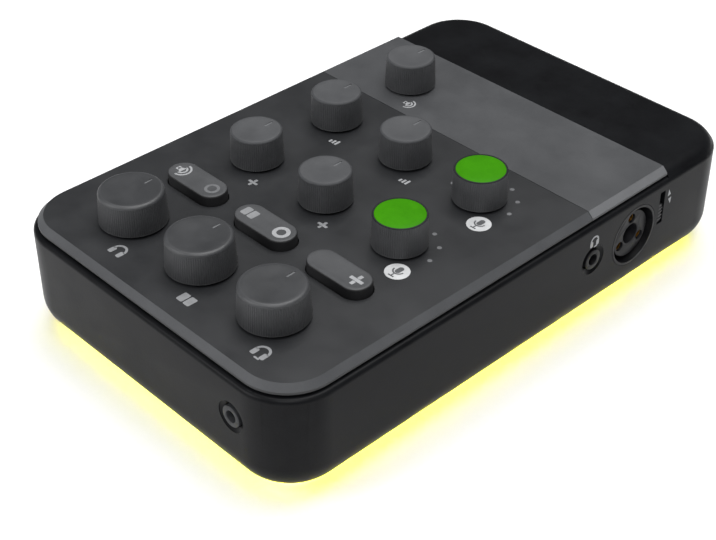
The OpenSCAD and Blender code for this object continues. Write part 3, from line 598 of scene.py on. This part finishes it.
litPair = turnLitKnob(litKnob, "knob_a_lit", "lens_a")
litShift = nodeMiddle("knob_b_lit") - nodeMiddle("knob_a_lit")
litTwins = [twinOf(piece, litShift) for piece in litPair]
for (collar, lens), row, place in ((litPair, "a", "Front"), (litTwins, "b", "Back")):
    collarNode, lensNode = "knob_" + row + "_lit", "lens_" + row
    setPiece(collar, "knobLit" + place, [], bodyOf(collarNode), [collarNode], angle=40)
    setPiece(lens, "lens" + place, [], bodyOf(lensNode), [lensNode], angle=50)
print("lit knobs turned")


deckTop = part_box("deck")[1].z
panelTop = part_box("badge_plate")[1].z


# pill keys: a cap with a soft crown, a hold-down flange and a stem
pillKey = {
    "length": 22, "width": 9.25, "capDepth": 5.8, "crown": 0.7, "crownSteps": 4, "rimLand": 0.9, "dish": 0.15,
    "flangeOver": 1.5, "flange": 1.2, "flangeEdge": 0.15, "stem": 1.6, "stemEdge": 0.3, "stemSides": 32,
    "sides": 56, "shadeSlope": 0.7,
}


def stadiumSlab(middle, length, width, low, high, sides):
    clearPick()
    bpy.ops.mesh.primitive_cylinder_add(vertices=sides, radius=width / 2, depth=high - low,
                                        location=(middle.x, middle.y, (low + high) / 2),
                                        rotation=(0, 0, math.pi / sides))
    slab = bpy.context.object
    bpy.ops.object.transform_apply(location=False, rotation=True, scale=False)
    openEdit()
    for side in (-1, 1):                # the two halves move apart
        pick("VERT", lambda v, spot: spot.x * side > 0)
        bpy.ops.transform.translate(value=(side * (length - width) / 2, 0, 0))
    closeEdit()
    return slab


def shapePill(look, node):
    low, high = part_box(node)
    middle = (low + high) / 2
    foot = high.z - look["capDepth"] * mm
    cap = stadiumSlab(middle, look["length"] * mm, look["width"] * mm, foot, high.z, look["sides"])
    half = look["capDepth"] * mm / 2
    openEdit()
    pick("EDGE", lambda e, spot: all(v.co.z > half - hair for v in e.verts))
    bpy.ops.mesh.bevel(offset=look["crown"] * mm, segments=look["crownSteps"], affect="EDGES")
    pick("FACE", lambda f, spot: f.normal.z > flatUp and spot.z > half - hair)
    bpy.ops.mesh.inset(thickness=look["rimLand"] * mm, depth=-look["dish"] * mm)
    closeEdit()
    flangeLow = foot - look["flange"] * mm
    flange = stadiumSlab(middle, (look["length"] + 2 * look["flangeOver"]) * mm,
                         (look["width"] + 2 * look["flangeOver"]) * mm, flangeLow, foot, look["sides"])
    openEdit()
    pick("EDGE", lambda e, spot: abs(e.verts[0].co.z - e.verts[1].co.z) < hair)
    bpy.ops.mesh.bevel(offset=look["flangeEdge"] * mm, segments=2, affect="EDGES")
    closeEdit()
    clearPick()
    bpy.ops.mesh.primitive_cylinder_add(vertices=look["stemSides"], radius=look["stem"] * mm,
                                        depth=flangeLow - low.z,
                                        location=(middle.x, middle.y, (flangeLow + low.z) / 2))
    stem = bpy.context.object
    openEdit()
    pick("EDGE", lambda e, spot: all(v.co.z < 0 for v in e.verts))
    bpy.ops.mesh.bevel(offset=look["stemEdge"] * mm, segments=2, affect="EDGES")
    closeEdit()
    return joinParts([cap, flange, stem])


pills = {"pillLeft": "button_left", "pillMid": "button_mid", "pillRight": "button_right"}
pillMaster = shapePill(pillKey, "button_left")
for finish in (pillSilicone, pillFlankShade):
    pillMaster.data.materials.append(finish)
for face in pillMaster.data.polygons:   # grey top stops on the rounded edge; the flanks below take the painted shade
    face.material_index = 0 if face.normal.z > pillKey["shadeSlope"] and face.center.z > deckTop else 1
for pieceName, node in pills.items():
    shift = nodeMiddle(node) - nodeMiddle("button_left")
    pill = pillMaster if shift.length < hair else twinOf(pillMaster, shift)
    setPiece(pill, pieceName, [], bodyOf(node), [node], angle=40)
print("pills shaped")


# printed marks, drawn flat in millimetres round their own middle and then laid on a surface
def disc(x, y, radius, sides=40):
    clearPick()
    bpy.ops.mesh.primitive_circle_add(vertices=sides, radius=radius * mm, fill_type="NGON",
                                      location=(x * mm, y * mm, 0))
    return bpy.context.object


def hoop(x, y, radius, line, keep=None):
    ring = disc(x, y, radius)
    openEdit()
    bpy.ops.mesh.select_all(action="SELECT")
    bpy.ops.mesh.inset(thickness=line * mm)
    bpy.ops.mesh.delete(type="FACE")
    if keep:                            # only the half on this side stays
        bpy.ops.mesh.select_all(action="SELECT")
        bpy.ops.mesh.bisect(plane_co=(x * mm, y * mm, 0), plane_no=(keep[0], keep[1], 0), clear_inner=True)
    closeEdit()
    return ring


def bar(x, y, wide, tall, corner=0.0, turn=0.0):
    clearPick()
    bpy.ops.mesh.primitive_plane_add(size=mm, location=(x * mm, y * mm, 0))
    slip = bpy.context.object
    openEdit()
    bpy.ops.mesh.select_all(action="SELECT")
    bpy.ops.transform.resize(value=(wide, tall, 1))
    if corner:
        bpy.ops.mesh.bevel(offset=corner * mm, segments=4, affect="VERTICES")
    closeEdit()
    slip.rotation_euler.z = math.radians(turn)
    return slip


def tip(x, y, radius, turn, wide=1.0):  # a three-sided point
    point = disc(x, y, radius, 3)
    openEdit()
    bpy.ops.mesh.select_all(action="SELECT")
    bpy.ops.transform.resize(value=(wide, 1, 1))
    closeEdit()
    point.rotation_euler.z = math.radians(turn)
    return point


def earsMark(size):
    cups = [bar(side * 1.75 * size, -0.8 * size, 1.6 * size, 2.5 * size, 0.45 * size) for side in (-1, 1)]
    return [hoop(0, 0.2 * size, 2.5 * size, 0.75 * size, (0, 1))] + cups


def headsetMark(size):
    return earsMark(size) + [bar(0.75 * size, -2.35 * size, 1.9 * size, 0.6 * size, 0.2 * size)]


def pairMark():
    return [bar(-1.4, 0, 2.4, 3.6, 0.5), bar(1.4, 0, 2.4, 3.6, 0.5)]


def voiceMark(size):
    return [bar(0, 0.55 * size, 1.1 * size, 1.9 * size, 0.5 * size),
            hoop(0, 0.4 * size, 1.2 * size, 0.3 * size, (0, -1)),
            bar(0, -1.15 * size, 0.3 * size, 0.65 * size), bar(0, -1.6 * size, 1.3 * size, 0.3 * size)]


def crossMark(size):
    return [bar(0, 0, 3.6 * size, 0.9 * size, 0.2), bar(0, 1.15 * size, 0.9 * size, 1.2 * size, 0.2),
            bar(0, -1.15 * size, 0.9 * size, 1.2 * size, 0.2)]


def levelMark():
    return [bar(-1.2, -0.25, 0.75, 1.4, 0.2), bar(0, 0, 0.75, 1.9, 0.2), bar(1.2, 0.25, 0.75, 2.4, 0.2)]


def soundMark(size):
    return [bar(-1.7 * size, 0, 0.9 * size, 1.4 * size, 0.15), tip(-0.75 * size, 0, 1.25 * size, 90, 1.1),
            hoop(-0.4 * size, 0, 1.5 * size, 0.5 * size, (1, 0)),
            hoop(-0.4 * size, 0, 2.5 * size, 0.5 * size, (1, 0))]


def boltMark():
    return [tip(-0.35, 1.3, 1.5, 12, 0.55), tip(0.35, -1.3, 1.5, 192, 0.55)]


inkThickness = 0.02


def layMark(parts, spot, turn=(0, 0, 0)):
    mark = joinParts(parts)
    useModifier(mark, "SOLIDIFY", thickness=inkThickness * mm, offset=1)
    mark.location = spot
    mark.rotation_euler = turn
    makeActive(mark)
    bpy.ops.object.transform_apply(location=True, rotation=True, scale=True)
    return mark


# where each mark sits from its knob's axis, in millimetres
deckPrint = {
    "bigOffset": (8.9, -12.1), "smallOffset": (8.5, -9.1), "badgeOffset": (8.4, -9.3), "badge": 3.6,
    "voice": 1.55, "dotArc": 11.0, "dot": 0.7, "dotAngles": (3, 38, 73, 107, 142, 177),
}


def besideKnob(node, offset, top):
    middle = nodeMiddle(node)
    return (middle.x + offset[0] * mm, middle.y + offset[1] * mm, top)


whiteMarks = []
paleMarks = [
    layMark(levelMark(), besideKnob("knob_b_left", deckPrint["smallOffset"], deckTop)),
    layMark(levelMark(), besideKnob("knob_b_mid", deckPrint["smallOffset"], deckTop)),
    layMark(soundMark(1.0), besideKnob("knob_c", deckPrint["smallOffset"], panelTop)),
]
greyMarks = [
    layMark(earsMark(1.0), besideKnob("knob_big_left", deckPrint["bigOffset"], deckTop)),
    layMark(pairMark(), besideKnob("knob_big_mid", deckPrint["bigOffset"], deckTop)),
    layMark(headsetMark(1.0), besideKnob("knob_big_right", deckPrint["bigOffset"], deckTop)),
    layMark(crossMark(1.0), besideKnob("knob_a_left", deckPrint["smallOffset"], deckTop)),
    layMark(crossMark(1.0), besideKnob("knob_a_mid", deckPrint["smallOffset"], deckTop)),
]
darkMarks, faintMarks = [], []
for node in ("knob_a_lit", "knob_b_lit"):
    spot = besideKnob(node, deckPrint["badgeOffset"], deckTop)
    whiteMarks.append(layMark([disc(0, 0, deckPrint["badge"])], spot))
    darkMarks.append(layMark(voiceMark(deckPrint["voice"]), (spot[0], spot[1], spot[2] + inkThickness * mm)))
    for angle in deckPrint["dotAngles"]:
        reach = deckPrint["dotArc"]
        step = (reach * math.cos(math.radians(angle)), reach * math.sin(math.radians(angle)))
        faintMarks.append(layMark([disc(0, 0, deckPrint["dot"], 24)], besideKnob(node, step, deckTop)))

# the right wall carries two small marks, one over the small socket and one beside the switch
wallPrint = {"headset": 0.75, "jackLift": 6.4, "switchStep": 3.6, "switchDrop": 3.6}
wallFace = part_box("shell")[1].x
upright = (math.pi / 2, 0, math.pi / 2)
jackSpot, switchSpot = nodeMiddle("side_jack"), nodeMiddle("switch_slider")
paleMarks.append(layMark(headsetMark(wallPrint["headset"]),
                         (wallFace, jackSpot.y, jackSpot.z + wallPrint["jackLift"] * mm), upright))
paleMarks.append(layMark(boltMark(), (wallFace, switchSpot.y + wallPrint["switchStep"] * mm,
                                      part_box("switch_body")[1].z - wallPrint["switchDrop"] * mm), upright))
for pieceName, marks, ink in (("printWhite", whiteMarks, whiteInk), ("printPale", paleMarks, paleInk),
                              ("printGrey", greyMarks, greyInk), ("printDark", darkMarks, darkInk),
                              ("printFaint", faintMarks, faintInk)):
    setPiece(joinParts(marks), pieceName, [ink], "case", angle=0)

# pill marks ride on their keys
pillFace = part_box("button_left")[1].z - pillKey["dish"] * mm
pillEnd = 6.6                           # from the key's middle to a mark, in millimetres


def onPill(node, side):
    middle = nodeMiddle(node)
    return (middle.x + side * pillEnd * mm, middle.y, pillFace)


pillMarks = {
    "pillPrintLeft": ("button_left", paleInk, [layMark(soundMark(1.2), onPill("button_left", -1))]),
    "pillPrintLeftFaint": ("button_left", faintInk,
                           [layMark([hoop(0, 0, 2.3, 0.9)], onPill("button_left", 1))]),
    "pillPrintMid": ("button_mid", paleInk, [layMark([hoop(0, 0, 2.6, 1.2)], onPill("button_mid", 1))]),
    "pillPrintMidFaint": ("button_mid", greyInk, [layMark(pairMark(), onPill("button_mid", -1))]),
    "pillPrintRight": ("button_right", paleInk, [layMark(crossMark(1.3), onPill("button_right", 1))]),
}
for pieceName, (node, ink, marks) in pillMarks.items():
    setPiece(joinParts(marks), pieceName, [ink], bodyOf(node), angle=0)
print("marks printed")


# sockets and switch keep their CAD shapes, with eased edges in millimetres
socketDress = {
    "comboHousing": ("combo_housing", socketNylon, "socket_black", 0.25),
    "comboInsert": ("combo_insert", insertNylon, "insert_grey", 0.2),
    "comboContacts": ("combo_contacts", contactGold, "contact_gold", 0.08),
    "sideJack": ("side_jack", socketNylon, "socket_black", 0.2),
    "frontJack": ("front_jack", frontNylon, "socket_black", 0.2),
    "rearJack": ("rear_jack", socketNylon, "socket_black", 0.2),
    "outJackLeft": ("out_jack_left", socketNylon, "socket_black", 0.25),
    "outJackRight": ("out_jack_right", socketNylon, "socket_black", 0.25),
    "usbSocket": ("usb_socket", socketNickel, "shaft_metal", 0.06),
    "usbTongue": ("usb_tongue", socketNylon, "socket_black", 0.06),
}
for pieceName, (node, finish, slot, edge) in socketDress.items():
    dressNode(node, pieceName, finish, "case", edge)
dressNode("switch_slider", "switchLever", leverAcetal, "switch", 0.08)
print("sockets dressed")

# inner parts stay as CAD solids with their own finishes
innerFinish = {
    "led_strip": stripFilm, "deck_screws": plateSteel, "main_board": boardMask, "io_board": boardMask,
    "board_link": socketNylon, "board_screws": plateSteel, "pots": plateSteel, "encoders": plateSteel,
    "tact_switches": socketNylon, "switch_body": socketNylon,
}
for node in nodes:
    if node.startswith("shaft_"):
        innerFinish[node] = plateSteel
for node, finish in innerFinish.items():
    for holder in nodes[node].material_slots:
        holder.material = finish
print("inner parts finished")


# floor and light
floorPaint = grainedFinish("paperCoatedWhite", {        # plain pale sweep, no shine
    "grain": 1.2, "cloud": 90, "dark": "f2f2f2", "light": "f6f6f6", "rough": 0.9,
    "relief": 0.02, "depth": 0.02, "specular": 0.1,
})
floorSide = 8
clearPick()
bpy.ops.mesh.primitive_plane_add(size=floorSide, location=(0, 0, 0))
floor = bpy.context.object
floor.name = "studioFloor"
floor.data.materials.append(floorPaint)

# place, size and power of the soft boxes, in metres and watts; each looks at the case
lightAim = Vector((0, 0, 0.03))
softBoxes = {
    "overhead": {"spot": (0.0, 0.25, 1.25), "size": 1.0, "power": 17.4},
    "frontLeft": {"spot": (-0.5, -1.02, 0.75), "size": 0.6, "power": 8.2},
    "frontRight": {"spot": (0.55, -0.55, 1.05), "size": 0.5, "power": 5.4},
    "right": {"spot": (1.15, 0.0, 0.85), "size": 0.6, "power": 1.5},
}
for boxName, box in softBoxes.items():
    bpy.ops.object.light_add(type="AREA", location=box["spot"])
    light = bpy.context.object
    light.name = boxName
    light.data.size = box["size"]
    light.data.energy = box["power"]
    light.rotation_euler = (lightAim - Vector(box["spot"])).to_track_quat("-Z", "Y").to_euler()

worldLook = {"tint": "f4f5f7", "power": 0.15}
world = bpy.data.worlds.new("studioWorld")
bpy.context.scene.world = world
world.use_nodes = True
world.node_tree.nodes["Background"].inputs["Color"].default_value = linear(worldLook["tint"])
world.node_tree.nodes["Background"].inputs["Strength"].default_value = worldLook["power"]
bpy.context.scene.view_settings.view_transform = "Standard"
bpy.context.scene.view_settings.look = "None"
print("studio lit")

clearPick()
